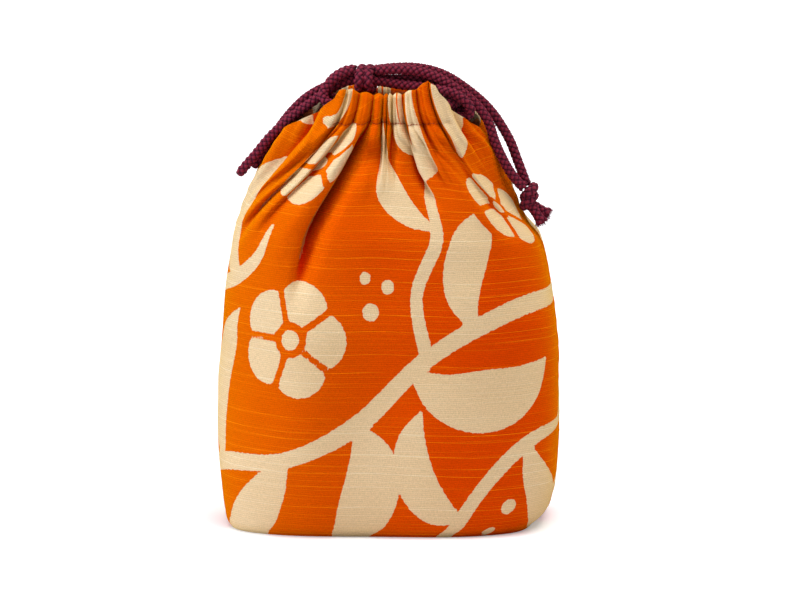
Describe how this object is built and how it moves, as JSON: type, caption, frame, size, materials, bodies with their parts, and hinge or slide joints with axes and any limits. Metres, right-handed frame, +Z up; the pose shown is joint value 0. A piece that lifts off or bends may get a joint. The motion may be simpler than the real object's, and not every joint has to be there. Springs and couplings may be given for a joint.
{
  "type": "drawstring pouch",
  "caption": "Soft cotton drawstring pouch with a flat base, a gathered mouth, side notches and braided draw cords tied over the opening.",
  "frame": {"origin": "middle of the bag's base, on the surface that it stands on", "axes": "+Z up through the mouth, +X to the right as the front is seen, -Y towards the viewer of the front"},
  "size_m": [0.165, 0.1026, 0.2216],
  "materials": {
    "cloth": "matt slubbed cotton, printed in orange and cream",
    "cord": "matt round braid"
  },
  "bodies": {
    "root": {"bag_body": "cloth", "right_cord_casing": "cord", "left_cord_casing": "cord", "right_cord_front": "cord", "right_cord_back": "cord", "left_cord_front": "cord", "left_cord_back": "cord", "right_tail_front": "cord", "right_tail_back": "cord", "top_knot": "cord", "end_knot": "cord"}
  },
  "joints": []
}
